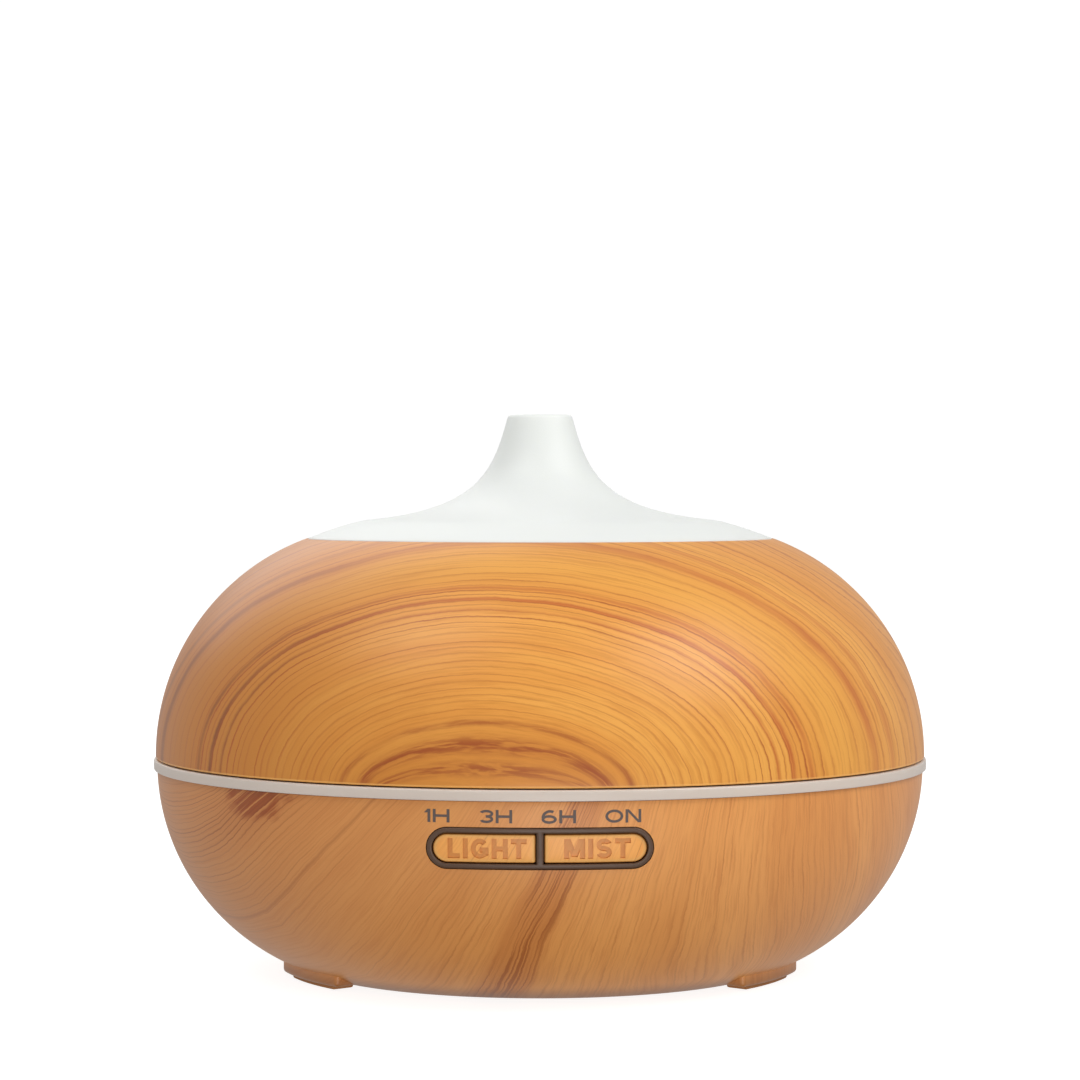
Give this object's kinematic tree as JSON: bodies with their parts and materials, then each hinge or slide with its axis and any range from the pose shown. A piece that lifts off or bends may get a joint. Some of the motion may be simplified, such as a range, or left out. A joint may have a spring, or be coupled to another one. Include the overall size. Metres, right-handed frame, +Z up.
{
  "type": "essential oil diffuser",
  "caption": "Round bun-shaped ultrasonic essential oil diffuser with a lift-off outer cover, conical mist nozzle, light ring and two push buttons.",
  "frame": {"origin": "on the floor under the centre of the round body, level with the undersides of the rubber pads", "axes": "+Z up along the mist nozzle, -Y towards the front with the buttons, +X to the right seen from the front"},
  "size_m": [0.168, 0.168, 0.1205],
  "materials": {
    "wood_print": "satin moulded plastic with a printed wood grain",
    "white_cap": "fine matt white plastic, slightly translucent",
    "tank_white": "smooth white polypropylene",
    "ring_milk": "milky translucent plastic light guide",
    "bezel_brown": "satin dark brown moulding",
    "dark_plastic": "fine matt black moulding",
    "pad_rubber": "matt grey rubber",
    "white_silicone": "soft white silicone",
    "circuit_board": "green solder resist on glass fibre",
    "steel": "plated steel",
    "bearing_brass": "sintered bronze-coloured sleeve",
    "copper_wire": "enamelled copper winding",
    "heat_sink_aluminium": "extruded aluminium",
    "cable_sheath": "soft PVC sheath"
  },
  "bodies": {
    "base": {"lower_shell": "wood_print", "water_tank": "tank_white", "air_outlet_hood": "tank_white", "light_ring": "ring_milk", "control_bezel": "bezel_brown", "bottom_plate": "dark_plastic", "light_switch": "dark_plastic", "mist_switch": "dark_plastic", "fan_frame": "dark_plastic", "transducer_retainer": "dark_plastic", "driver_transistor": "dark_plastic", "dc_jack": "dark_plastic", "capacitor_1": "dark_plastic", "capacitor_2": "dark_plastic", "foot_pad_1": "pad_rubber", "foot_pad_2": "pad_rubber", "foot_pad_3": "pad_rubber", "foot_pad_4": "pad_rubber", "transducer_gasket": "white_silicone", "button_board": "circuit_board", "led_board": "circuit_board", "main_board": "circuit_board", "transducer_disc": "steel", "dc_jack_pin": "steel", "button_board_screw_1": "steel", "button_board_screw_2": "steel", "tank_screw_1": "steel", "tank_screw_2": "steel", "tank_screw_3": "steel", "tank_screw_4": "steel", "plate_screw_1": "steel", "plate_screw_2": "steel", "plate_screw_3": "steel", "plate_screw_4": "steel", "retainer_screw_1": "steel", "retainer_screw_2": "steel", "retainer_screw_3": "steel", "fan_screw_1": "steel", "fan_screw_2": "steel", "board_screw_1": "steel", "board_screw_2": "steel", "board_screw_3": "steel", "fan_bearing": "bearing_brass", "fan_stator": "copper_wire", "inductor": "copper_wire", "heat_sink": "heat_sink_aluminium", "transducer_cable": "cable_sheath", "fan_cable": "cable_sheath", "led_cable": "cable_sheath", "button_cable": "cable_sheath", "jack_cable": "cable_sheath"},
    "cover": {"upper_shell": "wood_print", "nozzle_cap": "white_cap"},
    "inner_cover": {"inner_cover": "tank_white"},
    "light_button": {"light_button": "wood_print", "light_switch_plunger": "dark_plastic"},
    "mist_button": {"mist_button": "wood_print", "mist_switch_plunger": "dark_plastic"},
    "fan_rotor": {"fan_impeller": "dark_plastic", "fan_shaft": "steel"}
  },
  "joints": [
    {"name": "lid_lift", "type": "slide", "parent": "base", "child": "cover", "axis": [0, 0, 1], "range_m": [0, 0.12]},
    {"name": "inner_cover_lift", "type": "slide", "parent": "base", "child": "inner_cover", "axis": [0, 0, 1], "range_m": [0, 0.06]},
    {"name": "light_press", "type": "slide", "parent": "base", "child": "light_button", "axis": [0, 1, 0], "range_m": [0, 0.0005], "stiffness_N_per_m": 800},
    {"name": "mist_press", "type": "slide", "parent": "base", "child": "mist_button", "axis": [0, 1, 0], "range_m": [0, 0.0005], "stiffness_N_per_m": 800},
    {"name": "fan_spin", "type": "hinge", "parent": "base", "child": "fan_rotor", "pos_m": [0, 0.006, 0], "axis": [0, 0, 1], "continuous": true}
  ],
  "couplings": [
    {"joint": "inner_cover_lift", "follows": "lid_lift", "ratio": 0.5}
  ]
}
